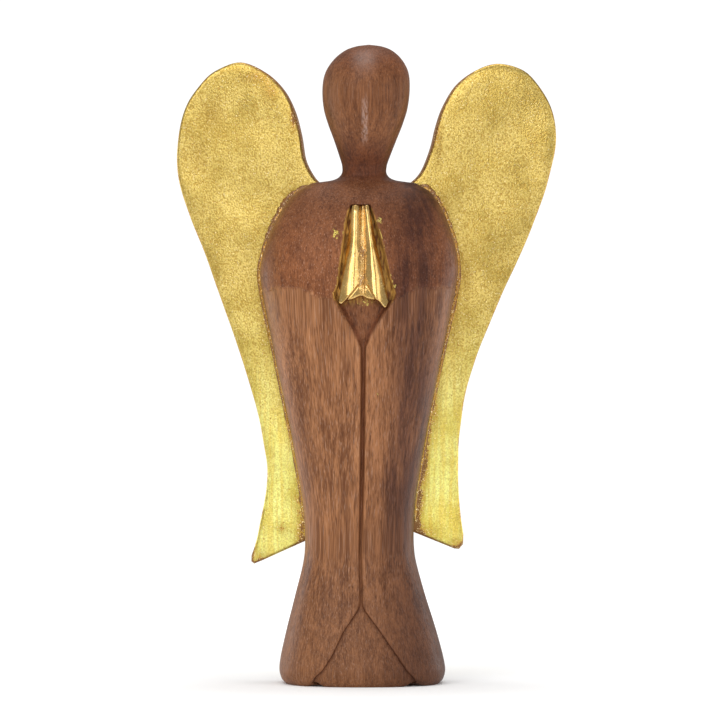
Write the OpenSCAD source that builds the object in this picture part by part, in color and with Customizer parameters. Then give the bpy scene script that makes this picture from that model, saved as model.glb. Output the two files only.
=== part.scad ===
// Carved praying angel: a robed body with the neck and head in one block, two
// wing boards pegged to its flat back, and a pair of gilded hands let into a
// pocket in the chest. The figure stands on z = 0 and faces -Y.

/* [Figure] */
// Height from the base to the crown
figure_h = 200; // [195:1:205]
// Width of the robe at the elbows
elbow_w = 62; // [58:1:66]
// Width of the flared hem
hem_w = 52; // [48:1:56]
// Width of the robe at the ankles, its narrowest place
ankle_w = 34; // [31:1:37]
// Width of the neck
neck_w = 14; // [13:0.5:16]
// Width of the head
head_w = 27.5; // [25:0.5:29]
// Depth of the chest in front of the axis
chest_d = 20.5; // [18:0.5:22]
// Depth of the hem in front of the axis
hem_front_d = 21; // [19:0.5:23]
// Depth of the hem behind the axis
hem_back_d = 17; // [15:0.5:19]

/* [Wings] */
// Distance from the axis back to the face that the wings are glued to
seat_y = 9; // [8:0.5:11]
// Thickness of a wing board
wing_t = 7; // [6:0.5:8]
// Angle by which each wing is swept back
wing_sweep = 5; // [0:0.5:8]

/* [Hands] */
// Height of the finger tips above the base
finger_z = 149.5; // [148:0.5:150]
// Height of the heels of the hands above the base
palm_z = 121; // [120:0.5:123]
// How far the palms stand off the floor of the pocket
palm_d = 5; // [4:0.5:6]

/* [Dowels] */
// Diameter of the wing dowels
dowel_d = 4; // [3:0.5:5]
// Length of a wing dowel
dowel_l = 12; // [10:0.5:12]
// Part of a wing dowel that is let into the wing
dowel_in_wing = 4.5; // [3:0.5:5]
// Diameter of the peg behind the hands
peg_d = 3; // [2:0.5:3]
// Length of the peg behind the hands
peg_l = 9; // [7:0.5:10]

/* [Hidden] */

wood = [0.45, 0.28, 0.19];
gilt = [0.83, 0.68, 0.27];
dowel_wood = [0.80, 0.66, 0.46];

// Heights where the figure changes shape.
ankle_z = 46;
elbow_z = 122;
shoulder_z = 156.5;
neck_z = 161.5;
temple_z = 186;
seat_from_z = 44; // the flat wing seat starts here and ends at the shoulder

// Half widths and depths of the robe, neck and head: [height, half width,
// depth in front, depth behind]. The robe below the elbows is one smooth
// curve, and the chest dome above them is another, so the elbow line is a
// crease. Behind the wings the depth is cut off at the seat.
robe_rows = [
    [0, hem_w * 0.460, hem_front_d * 0.95, hem_back_d * 0.94],
    [1.5, hem_w * 0.487, hem_front_d * 0.99, hem_back_d * 0.99],
    [5, hem_w * 0.500, hem_front_d, hem_back_d],
    [14, hem_w * 0.463, hem_front_d * 0.92, hem_back_d * 0.90],
    [29, hem_w * 0.385, hem_front_d * 0.77, hem_back_d * 0.68],
    [ankle_z - 7, ankle_w * 0.515, chest_d * 0.70, seat_y + 0.6],
    [ankle_z, ankle_w * 0.500, chest_d * 0.68, seat_y + 1.5],
    [56, ankle_w * 0.515, chest_d * 0.70, 16],
    [70, elbow_w * 0.318, chest_d * 0.76, 20],
    [90, elbow_w * 0.380, chest_d * 0.87, 21],
    [108, elbow_w * 0.440, chest_d * 0.95, 22],
    [elbow_z, elbow_w * 0.487, chest_d, 23]
];
dome_rows = [
    [elbow_z, elbow_w * 0.487, chest_d, 23],
    [129, elbow_w * 0.500, chest_d * 0.985, 23],
    [137, elbow_w * 0.477, chest_d * 0.92, 22],
    [144, elbow_w * 0.437, chest_d * 0.80, 21],
    [150, elbow_w * 0.387, chest_d * 0.65, 19],
    [154, elbow_w * 0.333, chest_d * 0.50, 16],
    [shoulder_z, elbow_w * 0.265, chest_d * 0.38, 12]
];
head_rows = [
    [shoulder_z, elbow_w * 0.265, chest_d * 0.38, seat_y],
    [157.4, neck_w * 0.72, 7.2, 8.4],
    [159, neck_w * 0.53, 6.5, 7.2],
    [neck_z, neck_w * 0.50, 6.8, 6.6],
    [165, neck_w * 0.57, 8.6, 6.9],
    [170, head_w * 0.355, 10.8, 8.4],
    [175, head_w * 0.425, 12.4, 10.2],
    [180, head_w * 0.480, 13.2, 11.8],
    [temple_z, head_w * 0.500, 13.2, 12.8],
    [191, head_w * 0.475, 11.9, 12.4],
    [195, head_w * 0.395, 9.6, 10.8],
    [198, head_w * 0.275, 6.6, 7.9],
    [199.4, head_w * 0.150, 3.6, 4.4]
];
// Sideways and fore-and-aft place of the middle of a section: a hand-carved
// figure leans a little, and the crown sits behind the chin.
lean_rows = [
    [0, 0.2, 0],
    [40, -0.7, 0],
    [elbow_z, -1, 0],
    [150, 0.2, 0],
    [neck_z, 0.8, 0.2],
    [temple_z, 1.3, -0.4],
    [200, 2.2, 0.6]
];

stretch = figure_h / 200; // every height above is for a figure of 200 mm

// The row of a table that a height falls in.
function row_at(t, z, i = 0) =
    i >= len(t) - 2 || z < t[i + 1][0] ? i : row_at(t, z, i + 1);

// Slope of column k at row i, from its neighbours.
function slope_at(t, i, k) =
    let (a = max(i - 1, 0), b = min(i + 1, len(t) - 1))
    (t[b][k] - t[a][k]) / (t[b][0] - t[a][0]);

// Value of column k at height z, on a smooth curve through the table.
function along(t, z, k) =
    let (
        i = row_at(t, z),
        h = t[i + 1][0] - t[i][0],
        s = max(0, min(1, (z - t[i][0]) / h)),
        m0 = slope_at(t, i, k) * h,
        m1 = slope_at(t, i + 1, k) * h
    )
    (2 * s^3 - 3 * s^2 + 1) * t[i][k] + (s^3 - 2 * s^2 + s) * m0
        + (3 * s^2 - 2 * s^3) * t[i + 1][k] + (s^3 - s^2) * m1;

function table_for(z) =
    z <= elbow_z ? robe_rows : z <= shoulder_z ? dome_rows : head_rows;

// How square a section is: the robe is fuller than an ellipse, the head is not.
function fullness(z) = z < shoulder_z ? 2.4 : 2.05;

function signed_power(v, p) = sign(v) * abs(v)^p;

// One section as a ring of points. The front half is a fuller ellipse. Behind
// the axis it runs to a corner and then along the flat seat, where there is one.
front_steps = 24;
wall_steps = 4;
back_steps = 5;
function section(z) =
    let (
        t = table_for(z),
        w = along(t, z, 1),
        f = along(t, z, 2),
        b = along(t, z, 3),
        cx = along(lean_rows, z, 1),
        cy = along(lean_rows, z, 2),
        n = fullness(z),
        seated = z >= seat_from_z && z <= shoulder_z,
        corner = seated ? asin(min(0.98, (seat_y / b)^(n / 2))) : 40,
        angles = concat(
            [for (i = [0:front_steps - 1]) 180 + 180 * i / front_steps],
            [for (i = [0:wall_steps - 1]) corner * i / wall_steps],
            [for (i = [0:2 * back_steps]) corner + (180 - 2 * corner) * i / (2 * back_steps)],
            [for (i = [1:wall_steps - 1]) 180 - corner + corner * i / wall_steps]
        )
    )
    [for (a = angles)
        let (
            x = w * signed_power(cos(a), 2 / n),
            y = (sin(a) < 0 ? f : b) * signed_power(sin(a), 2 / n),
            rest = seat_y + abs(x + cx) * tan(wing_sweep) - cy
        )
        [x + cx, (seated ? min(y, rest) : y) + cy, z * stretch]
    ];

heights = [
    0, 1.5, 3, 5, 8, 11,
    for (z = [15:5:40]) z,
    seat_from_z, 48, 52, 56, 62,
    for (z = [69:7:111]) z,
    117, elbow_z, 126, 130,
    for (z = [134:4:146]) z,
    149, 151.5, 153.5, 155.2, shoulder_z, 156.9, 157.4, 158.1, 159,
    for (z = [161:3:191]) z,
    193, 195, 196.6, 198, 198.9, 199.4
];

function flat(lists) = [for (l = lists) for (v = l) v];

// Closed solid through a stack of rings that all have the same count of points.
module skin(rings, top) {
    n = len(rings[0]);
    m = len(rings);
    sides = flat([for (r = [0:m - 2])
        flat([for (i = [0:n - 1])
            let (j = (i + 1) % n, a = r * n, b = (r + 1) * n)
            [[a + i, b + j, a + j], [a + i, b + i, b + j]]])]);
    cap = [for (i = [0:n - 1]) [(m - 1) * n + i, m * n, (m - 1) * n + (i + 1) % n]];
    base = [[for (i = [0:n - 1]) i]];
    polyhedron(points = concat(flat(rings), [top]), faces = concat(sides, cap, base), convexity = 6);
}

// The pocket for the hands: a kite between the sleeve edges, with a flat floor
// that follows the slope of the chest and runs out at the tip of the kite.
pocket = [[-3.6, 150.5], [-8.8, 121.5], [0.3, 106.5], [10.3, 121.5], [4.2, 150.5]];
hands_x = 0.5; // middle line of the hands
pocket_top = [hands_x, -10.5, 150.5]; // a point on the floor, at the top edge
pocket_lean = 11.5; // how far the floor leans, in degrees: its foot is further forward

// The opening of the robe below the pocket: [height, left edge, right edge,
// depth]. The two halves of the robe part at a narrow groove, and at the hem
// they spread over a sunken inner panel.
opening_rows = [
    [0, -15.6, 17.0, 1.0],
    [2.4, -14.1, 15.6, 1.0],
    [9.6, -9.4, 11.0, 0.9],
    [17, -5.9, 5.9, 0.9],
    [23.6, -1.5, 1.0, 1.1],
    [26, -0.9, 0.4, 1.1],
    [40, -1.1, 0.1, 1.1],
    [63, -0.9, 0.8, 1.4],
    [108, -0.5, 1.3, 1.5]
];
opening_steps = 8;
opening_top = [0.4, -19.6, 112]; // where the groove runs out on the pocket floor
clear_of_figure = 40;

// Value of column k at height z, on straight lines through the table.
function straight_along(t, z, k) = lookup(z, [for (row = t) [row[0], row[k]]]);

// How far forward the front of the block lies.
function front_y(x, z) =
    let (
        t = table_for(z),
        n = fullness(z),
        out = min(1, abs(x - along(lean_rows, z, 1)) / along(t, z, 1))
    )
    along(lean_rows, z, 2) - along(t, z, 2) * (1 - out^n)^(1 / n);

// One section of what is cut away, from in front of the block to the panel.
function opening_section(z) =
    let (
        level = max(z, 0),
        left = straight_along(opening_rows, level, 1),
        right = straight_along(opening_rows, level, 2),
        depth = straight_along(opening_rows, level, 3)
    )
    concat(
        [[left, -clear_of_figure, z * stretch], [right, -clear_of_figure, z * stretch]],
        [for (i = [opening_steps:-1:0])
            let (x = left + (right - left) * i / opening_steps)
            [x, front_y(x, level) + depth, z * stretch]]
    );

module robe_opening() {
    levels = [-1, for (z = [0:4:20]) z, 22, 23.6, 26, for (z = [33:7:103]) z, 108];
    skin([for (z = levels) opening_section(z)], opening_top);
}

// Carries a shape drawn on the XZ plane, with its face towards -Y, onto the floor.
module on_pocket_floor() {
    translate(pocket_top)
        rotate([-pocket_lean, 0, 0])
            translate(-pocket_top)
                translate([0, pocket_top[1], 0])
                    children();
}

// A plate of an XZ outline from y = from to y = to.
module xz_plate(outline, from, to) {
    translate([0, to, 0])
        rotate([90, 0, 0])
            linear_extrude(height = to - from)
                polygon(outline);
}

// Where each wing dowel crosses the seat: [distance out along the wing, height].
upper_dowel = [13, 138];
lower_dowel = [10, 76];
glue_room = 0.5; // a dowel hole is this much deeper than the dowel
overshoot = 5; // how far a cutter reaches past the face it starts from

// Turns a child drawn in the XZ plane onto the wing seat of one side.
module on_seat(side) {
    translate([0, seat_y, 0])
        rotate([0, 0, side * wing_sweep])
            children();
}

// A round bar along Y at a place on the seat: inwards is into the body.
module seat_bar(side, place, inwards, outwards, d) {
    on_seat(side)
        translate([side * place[0], outwards, place[1]])
            rotate([90, 0, 0])
                cylinder(h = inwards + outwards, d = d, $fn = 32);
}

peg_z = 128;
peg_in_hands = 2.5; // part of the peg that is let into the hands

// The peg lies square to the pocket floor, partly in the hands.
module peg_bar(extra = 0) {
    on_pocket_floor()
        translate([hands_x, peg_l - peg_in_hands + extra, peg_z])
            rotate([90, 0, 0])
                cylinder(h = peg_l + extra, d = peg_d, $fn = 32);
}

module body() {
    color(wood)
        difference() {
            skin([for (z = heights) section(z)], [along(lean_rows, 200, 1), 0.6, figure_h]);
            on_pocket_floor() xz_plate(pocket, -clear_of_figure, 0);
            robe_opening();
            for (side = [-1, 1], place = [upper_dowel, lower_dowel])
                seat_bar(side, place, dowel_l - dowel_in_wing + glue_room, overshoot, dowel_d);
            peg_bar(glue_room);
        }
}

// Wing outlines: [distance out from the spine, height], from the spine at the
// shoulder, over the top and down the outer edge to the tip, and back along the
// lower edge. A curve runs through the points, with corners where marked.
left_outline = [
    [0, 155], [9, 155.4], [13.3, 157], [16, 160], [18.3, 165],
    [19.6, 172.6], [21.6, 180], [25, 186.6], [30.8, 192.2], [38.7, 195.4],
    [46.4, 192.9], [52.4, 187.2], [56.3, 181], [58.5, 172.7], [58.9, 163],
    [57.6, 155], [54.4, 145.5], [50.5, 136], [45.4, 121.7], [40.3, 107.4],
    [35.7, 93.2], [32.4, 80.5], [30.5, 69.5], [30.4, 62], [31.3, 55],
    [33.3, 45.7], [35.3, 39.4]
];
right_outline = [
    [0, 155], [9, 155.4], [13.5, 156.3], [16.5, 157.8], [19.4, 161.3],
    [22, 168], [23.8, 175], [26.4, 182], [30.5, 188.4], [36.3, 192.8],
    [43.2, 195], [50.4, 193.4], [55.2, 189.7], [59.2, 183.4], [61.6, 176],
    [61.6, 168], [59.2, 157.5], [55.1, 145.5], [51.2, 136], [44.6, 121.7],
    [38.5, 107.4], [33.7, 93.2], [31.3, 80], [30.7, 67], [31.2, 55.2],
    [32.4, 46]
];
left_foot = [[35.3, 37.4], [34.4, 36.7], [32.4, 37.5], [19.6, 43.2], [0, 51.8]];
right_foot = [[32.2, 42.8], [30.9, 41.3], [29.4, 41.4], [19.4, 45.5], [0, 53.4]];

// A point between b and c on a smooth curve through a, b, c and d.
function between(a, b, c, d, s) =
    0.5 * (2 * b + (c - a) * s + (2 * a - 5 * b + 4 * c - d) * s^2
        + (3 * b - a - 3 * c + d) * s^3);
function smooth_through(p, steps) = concat(
    flat([for (i = [0:len(p) - 2])
        [for (s = [0:steps - 1])
            between(p[max(i - 1, 0)], p[i], p[i + 1], p[min(i + 2, len(p) - 1)], s / steps)]]),
    [p[len(p) - 1]]
);

module wing(side, outline, foot) {
    reach = 80;
    color(gilt)
        difference() {
            on_seat(side)
                xz_plate(
                    [for (p = concat(smooth_through(outline, 3), foot)) [side * p[0], p[1] * stretch]],
                    0, wing_t);
            // the mitre at the spine
            translate([side > 0 ? -reach : 0, -reach / 2, -1])
                cube([reach, reach, figure_h + 2]);
            for (place = [upper_dowel, lower_dowel])
                seat_bar(side, place, overshoot, dowel_in_wing + glue_room, dowel_d);
        }
}

module wing_dowel(side, place) {
    color(dowel_wood)
        seat_bar(side, place, dowel_l - dowel_in_wing, dowel_in_wing, dowel_d);
}

// Each hand is a rounded wedge from a narrow finger tip to a broad heel, and
// the two meet along a groove on the middle line.
finger_r = 1.9;
finger_x = 0.7; // from the middle line to the middle of one hand's finger tips
finger_lift = 1.2; // from the pocket floor to the middle of the finger tips
heel_r = 4;
heel_x = 3.3;
heel_lift = palm_d - heel_r;
heel_z = palm_z + 1;
module hand(side) {
    hull() {
        translate([hands_x + side * finger_x, -finger_lift, finger_z - finger_r])
            sphere(r = finger_r, $fn = 32);
        translate([hands_x + side * heel_x, -heel_lift, heel_z])
            sphere(r = heel_r, $fn = 32);
    }
}

// Everything on the near side of the pocket floor, round the hands.
module in_front_of_floor() {
    translate([-elbow_w / 2, -clear_of_figure, elbow_z - clear_of_figure / 2])
        cube([elbow_w, clear_of_figure, clear_of_figure * 2]);
}

module praying_hands() {
    color(gilt)
        difference() {
            on_pocket_floor() {
                intersection() {
                    union() {
                        hand(-1);
                        hand(1);
                    }
                    in_front_of_floor();
                }
            }
            peg_bar();
        }
}

module hands_peg() {
    color(dowel_wood) peg_bar();
}

body();
wing(-1, left_outline, left_foot);  // left_wing
wing(1, right_outline, right_foot);  // right_wing
praying_hands();
wing_dowel(-1, upper_dowel);  // left_wing_upper_dowel
wing_dowel(-1, lower_dowel);  // left_wing_lower_dowel
wing_dowel(1, upper_dowel);  // right_wing_upper_dowel
wing_dowel(1, lower_dowel);  // right_wing_lower_dowel
hands_peg();
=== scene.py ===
import math

import bmesh
import bpy
from mathutils import Matrix, Vector, noise


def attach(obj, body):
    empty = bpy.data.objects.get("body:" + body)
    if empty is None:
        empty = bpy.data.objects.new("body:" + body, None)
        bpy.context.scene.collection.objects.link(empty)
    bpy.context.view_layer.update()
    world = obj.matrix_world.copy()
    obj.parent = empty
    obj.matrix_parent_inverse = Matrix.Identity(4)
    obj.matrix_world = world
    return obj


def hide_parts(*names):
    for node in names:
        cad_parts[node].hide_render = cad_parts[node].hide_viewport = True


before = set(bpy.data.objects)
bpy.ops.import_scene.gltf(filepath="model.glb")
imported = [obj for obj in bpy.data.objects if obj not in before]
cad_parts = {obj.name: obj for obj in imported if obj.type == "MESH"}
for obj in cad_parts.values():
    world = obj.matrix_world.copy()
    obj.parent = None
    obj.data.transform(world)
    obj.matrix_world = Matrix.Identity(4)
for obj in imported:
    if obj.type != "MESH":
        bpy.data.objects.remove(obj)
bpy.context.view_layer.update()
MM = 0.001

# ---------------------------------------------------------------- studio
# A level camera stands in front of the figure at half its height, far enough
# back that the hem and the crown are seen almost straight on.
CAMERA_DISTANCE = 1.3
SENSOR_WIDTH = 36.0
FIELD_HEIGHT = 225.7 * MM
CAMERA_X = -0.6 * MM
CAMERA_Z = 101.1 * MM

scene = bpy.context.scene
scene.view_settings.view_transform = "Standard"
scene.view_settings.look = "None"

lens = bpy.data.cameras.new("studio_camera")
lens.sensor_width = SENSOR_WIDTH
lens.lens = SENSOR_WIDTH * CAMERA_DISTANCE / FIELD_HEIGHT
lens.clip_start = 0.01
camera = bpy.data.objects.new("studio_camera", lens)
camera.location = (CAMERA_X, -CAMERA_DISTANCE, CAMERA_Z)
camera.rotation_euler = (math.radians(90), 0, 0)
scene.collection.objects.link(camera)
scene.camera = camera


def plug(tree, node, **inputs):
    """Links or sets a node's inputs by name."""
    for name, value in inputs.items():
        socket = find_socket(node.inputs, name)
        if isinstance(value, bpy.types.NodeSocket):
            tree.links.new(value, socket)
        else:
            socket.default_value = value


def add_node(tree, kind, settings=None, **inputs):
    """Adds a node. Settings are its own properties, inputs are values or links."""
    node = tree.nodes.new(kind)
    for name, value in (settings or {}).items():
        setattr(node, name, value)
    plug(tree, node, **inputs)
    return node


def find_socket(sockets, name):
    """A socket by its name in lower case with underscores, or by _0, _1 for its place."""
    if name[0] == "_":
        return sockets[int(name[1:])]
    for socket in sockets:
        if socket.enabled and socket.name.lower().replace(" ", "_") == name:
            return socket
    raise KeyError(name)


def soft_box(name, place, aim, width, height, power):
    """A rectangular studio light that faces a point."""
    light = bpy.data.lights.new(name, "AREA")
    light.shape = "RECTANGLE"
    light.size = width
    light.size_y = height
    light.energy = power
    lamp = bpy.data.objects.new(name, light)
    lamp.location = place
    lamp.rotation_euler = (Vector(aim) - Vector(place)).to_track_quat("-Z", "Y").to_euler()
    scene.collection.objects.link(lamp)


MIDDLE = (0, 0, 0.1)
HEM = (0, 0, 0.03)
soft_box("key_light", (-0.75, -1.15, 0.85), MIDDLE, 0.8, 0.8, 7)
soft_box("front_light", (0.05, -1.6, 0.62), MIDDLE, 0.5, 0.9, 5)
soft_box("fill_light", (1.2, -0.9, 0.5), MIDDLE, 0.8, 1.0, 4.2)
soft_box("top_light", (0, 0.1, 1.3), MIDDLE, 1.0, 1.0, 8)
soft_box("left_rim_light", (-0.9, 0.45, 0.12), HEM, 0.6, 0.4, 2.4)
soft_box("right_rim_light", (0.9, 0.45, 0.12), HEM, 0.6, 0.4, 2.4)

world = bpy.data.worlds.new("white_studio")
scene.world = world
world.use_nodes = True
sky = world.node_tree
sky.nodes.clear()
seen = add_node(sky, "ShaderNodeLightPath")
backdrop = add_node(sky, "ShaderNodeBackground", color=(1, 1, 1, 1), strength=1.1)
ambient = add_node(sky, "ShaderNodeBackground", color=(1, 1, 1, 1), strength=0.5)
either = add_node(sky, "ShaderNodeMixShader", _0=seen.outputs["Is Camera Ray"], _1=ambient.outputs[0],
                  _2=backdrop.outputs[0])
add_node(sky, "ShaderNodeOutputWorld", surface=either.outputs[0])

# The floor is a plain round white table top. Away from the figure it glows a
# little, so that it runs into the backdrop without an edge.
FLOOR_RADIUS = 0.7
GLOW_STARTS = 0.05
GLOW_FULL = 0.30
plate = bmesh.new()
bmesh.ops.create_circle(plate, cap_ends=True, segments=96, radius=FLOOR_RADIUS)
floor_mesh = bpy.data.meshes.new("floor")
plate.to_mesh(floor_mesh)
plate.free()
floor = bpy.data.objects.new("floor", floor_mesh)
scene.collection.objects.link(floor)
floor_paint = bpy.data.materials.new("white_table")
floor_paint.use_nodes = True
table = floor_paint.node_tree
table_point = add_node(table, "ShaderNodeTexCoord").outputs["Object"]
far_out = add_node(table, "ShaderNodeVectorMath", {"operation": "LENGTH"}, _0=table_point).outputs["Value"]
glow = add_node(table, "ShaderNodeMapRange", value=far_out, from_min=GLOW_STARTS, from_max=GLOW_FULL,
                to_min=0.0, to_max=0.3).outputs[0]
plug(table, table.nodes["Principled BSDF"], base_color=(0.97, 0.97, 0.97, 1), roughness=0.9,
     emission_color=(1, 1, 1, 1), emission_strength=glow)
floor_mesh.materials.append(floor_paint)

# ------------------------------------------------------------- robe and head
# The body is one block of oiled brown hardwood, carved and sanded by hand: a
# robe that is open down the front over an inner panel, a domed chest with a
# pocket cut for the hands, a short neck and a plain pear-shaped head.
FIGURE_H = 200 * MM
ELBOW_W = 62 * MM
HEM_W = 52 * MM
ANKLE_W = 34 * MM
NECK_W = 14 * MM
HEAD_W = 27.5 * MM
CHEST_D = 20.5 * MM
HEM_FRONT_D = 21 * MM
HEM_BACK_D = 17 * MM
SEAT_Y = 9 * MM
WING_T = 7 * MM
WING_SWEEP = math.radians(5)
SEAT_FROM_Z = 44 * MM
ELBOW_Z = 122 * MM
SHOULDER_Z = 156.5 * MM
# How full a section is: 2 makes it an ellipse, more makes it squarer.
FULL_ROBE = 2.4
FULL_HEAD = 2.05
# The surface follows the wandering of the elbow crease this far above and below it.
CREASE_FADE = 9 * MM

# Sections of the block: height, half width, depth in front, depth behind.
ROBE = [
    (0 * MM, HEM_W * 0.460, HEM_FRONT_D * 0.95, HEM_BACK_D * 0.94),
    (1.5 * MM, HEM_W * 0.487, HEM_FRONT_D * 0.99, HEM_BACK_D * 0.99),
    (5 * MM, HEM_W * 0.500, HEM_FRONT_D, HEM_BACK_D),
    (14 * MM, HEM_W * 0.463, HEM_FRONT_D * 0.92, HEM_BACK_D * 0.90),
    (29 * MM, HEM_W * 0.385, HEM_FRONT_D * 0.77, HEM_BACK_D * 0.68),
    (39 * MM, ANKLE_W * 0.515, CHEST_D * 0.70, 9.6 * MM),
    (46 * MM, ANKLE_W * 0.500, CHEST_D * 0.68, 10.5 * MM),
    (56 * MM, ANKLE_W * 0.515, CHEST_D * 0.70, 16 * MM),
    (70 * MM, ELBOW_W * 0.318, CHEST_D * 0.76, 20 * MM),
    (90 * MM, ELBOW_W * 0.380, CHEST_D * 0.87, 21 * MM),
    (108 * MM, ELBOW_W * 0.440, CHEST_D * 0.95, 22 * MM),
    (122 * MM, ELBOW_W * 0.487, CHEST_D, 23 * MM),
]
CHEST = [
    (122 * MM, ELBOW_W * 0.487, CHEST_D, 23 * MM),
    (129 * MM, ELBOW_W * 0.500, CHEST_D * 0.985, 23 * MM),
    (137 * MM, ELBOW_W * 0.477, CHEST_D * 0.92, 22 * MM),
    (144 * MM, ELBOW_W * 0.437, CHEST_D * 0.80, 21 * MM),
    (150 * MM, ELBOW_W * 0.387, CHEST_D * 0.65, 19 * MM),
    (154 * MM, ELBOW_W * 0.333, CHEST_D * 0.50, 16 * MM),
    (156.5 * MM, ELBOW_W * 0.265, CHEST_D * 0.38, 12 * MM),
]
HEAD = [
    (156.5 * MM, ELBOW_W * 0.265, CHEST_D * 0.38, 9 * MM),
    (157.4 * MM, NECK_W * 0.72, 7.2 * MM, 8.4 * MM),
    (159 * MM, NECK_W * 0.53, 6.5 * MM, 7.2 * MM),
    (161.5 * MM, NECK_W * 0.50, 6.8 * MM, 6.6 * MM),
    (165 * MM, NECK_W * 0.57, 8.6 * MM, 6.9 * MM),
    (170 * MM, HEAD_W * 0.355, 10.8 * MM, 8.4 * MM),
    (175 * MM, HEAD_W * 0.425, 12.4 * MM, 10.2 * MM),
    (180 * MM, HEAD_W * 0.480, 13.2 * MM, 11.8 * MM),
    (186 * MM, HEAD_W * 0.500, 13.2 * MM, 12.8 * MM),
    (191 * MM, HEAD_W * 0.475, 11.9 * MM, 12.4 * MM),
    (195 * MM, HEAD_W * 0.395, 9.6 * MM, 10.8 * MM),
    (198 * MM, HEAD_W * 0.275, 6.6 * MM, 7.9 * MM),
    (199.4 * MM, HEAD_W * 0.150, 3.6 * MM, 4.4 * MM),
    (200 * MM, 0.0, 0.0, 0.0),
]


def in_metres(rows):
    """A table written in millimetres."""
    return [tuple(value * MM for value in row) for row in rows]


# The middle of a section wanders a little: height, sideways, fore and aft.
LEAN = in_metres([
    (0, 0.2, 0),
    (40, -0.7, 0),
    (122, -1, 0),
    (150, 0.2, 0),
    (161.5, 0.8, 0.2),
    (186, 1.3, -0.4),
    (200, 2.2, 0.6),
])
# The opening down the front: height, left edge, right edge. From the top it is
# the pocket for the hands, the cut between the robe's halves, and the hem flaps.
OPENING = in_metres([
    (0, -15.6, 17.0),
    (2.4, -14.1, 15.6),
    (9.6, -9.4, 11.0),
    (17, -5.9, 5.9),
    (23.6, -1.5, 1.0),
    (26, -0.85, 0.35),
    (40.6, -1.1, 0.05),
    (63, -0.85, 0.75),
    (95, -0.45, 1.25),
    (105, -0.6, 1.3),
    (108, -2.0, 2.6),
    (114, -5.4, 6.1),
    (120, -8.7, 10.1),
    (121.9, -8.8, 10.3),
    (124, -7.7, 9.6),
    (127, -7.3, 8.7),
    (134.5, -6.3, 7.1),
    (143, -5.2, 4.7),
    (147, -4.4, 3.4),
    (150, -3.2, 2.3),
    (152, -3.0, 2.1),
])
POCKET_TOP_Z = 149.1 * MM
POCKET_FOOT_Z = 106.5 * MM
POCKET_FLOOR_Y = -10.72 * MM
POCKET_LEAN = math.tan(math.radians(11.5))
SPLIT_Z = 24.5 * MM
FLAP_LIMIT = 0.74


def smooth_step(value, low, high):
    """0 below low, 1 above high, and a smooth ramp between them."""
    s = max(0.0, min(1.0, (value - low) / (high - low)))
    return s * s * (3 - 2 * s)


def rise(value, low, high):
    """The same ramp between places in millimetres; it falls where low is the higher."""
    return smooth_step(value, low * MM, high * MM)


def hump(value, middle, width):
    """1 at the middle, fading to nothing some widths away."""
    return math.exp(-((value - middle) / width) ** 2)


def bumps(point, scale=1):
    """Smooth noise between -1 and 1, with so many lumps to a unit."""
    return noise.noise(Vector(point) * scale)


def along(rows, z, column):
    """The value of a column at a height, on a smooth curve through the rows."""
    i = 0
    while i < len(rows) - 2 and z >= rows[i + 1][0]:
        i += 1
    before, here = rows[max(i - 1, 0)], rows[i]
    there, after = rows[i + 1], rows[min(i + 2, len(rows) - 1)]
    gap = there[0] - here[0]
    s = max(0.0, min(1.0, (z - here[0]) / gap))
    m0 = (there[column] - before[column]) / (there[0] - before[0]) * gap
    m1 = (after[column] - here[column]) / (after[0] - here[0]) * gap
    return ((2 * s**3 - 3 * s**2 + 1) * here[column] + (s**3 - 2 * s**2 + s) * m0
            + (3 * s**2 - 2 * s**3) * there[column] + (s**3 - s**2) * m1)


def straight_along(rows, z, column):
    """The value of a column at a height, on straight lines between the rows."""
    z = max(rows[0][0], min(rows[-1][0], z))
    for here, there in zip(rows, rows[1:]):
        if z <= there[0]:
            share = (z - here[0]) / (there[0] - here[0])
            return here[column] + share * (there[column] - here[column])
    return rows[-1][column]


def section_size(z):
    """Half width, depth in front, depth behind, and the middle of the block at a height."""
    rows = ROBE if z <= ELBOW_Z else CHEST if z <= SHOULDER_Z else HEAD
    return [max(along(rows, z, k), 0.02 * MM) for k in (1, 2, 3)] + [along(LEAN, z, k) for k in (1, 2)]


def pocket_floor(z):
    return POCKET_FLOOR_Y - (POCKET_TOP_Z - z) * POCKET_LEAN


def ring_blank(ball, columns, rings):
    """Makes a ball and numbers its points by column round it and by ring from the foot up."""
    bmesh.ops.create_uvsphere(ball, u_segments=columns, v_segments=rings, radius=1)
    places = []
    for point in ball.verts:
        drop = math.acos(max(-1.0, min(1.0, point.co.z)))
        turn = math.atan2(point.co.y, point.co.x) % (2 * math.pi)
        places.append((point, round(turn / (2 * math.pi) * columns) % columns,
                       round((math.pi - drop) / math.pi * rings)))
    return places


def piece_from(work, name, material):
    """Finishes a bmesh as a smooth object with one material, its place in its mesh."""
    bmesh.ops.recalc_face_normals(work, faces=work.faces)
    mesh = bpy.data.meshes.new(name)
    work.to_mesh(mesh)
    work.free()
    mesh.shade_smooth()
    mesh.materials.append(material)
    piece = bpy.data.objects.new(name, mesh)
    scene.collection.objects.link(piece)
    return piece


# Rings are closer together at the elbow crease and the top of the pocket.
RING_STEP = 0.56 * MM
FINE_SHARE = 0.45
CROWN_GAP = 0.06 * MM


def body_heights():
    """Heights of the rings, a step apart along the surface rather than along the axis."""
    heights = [0.0]
    z = 0.0
    probe = 0.2 * MM
    while z < FIGURE_H - CROWN_GAP:
        here, further = section_size(z), section_size(min(z + probe, FIGURE_H))
        slope = max(abs(further[k] - here[k]) / probe for k in (0, 1))
        fine = abs(z - POCKET_TOP_Z) < 1 * MM or abs(z - ELBOW_Z) < 3 * MM
        z += (FINE_SHARE if fine else 1.0) * RING_STEP / math.hypot(1, slope)
        heights.append(min(z, FIGURE_H))
    return heights


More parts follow.
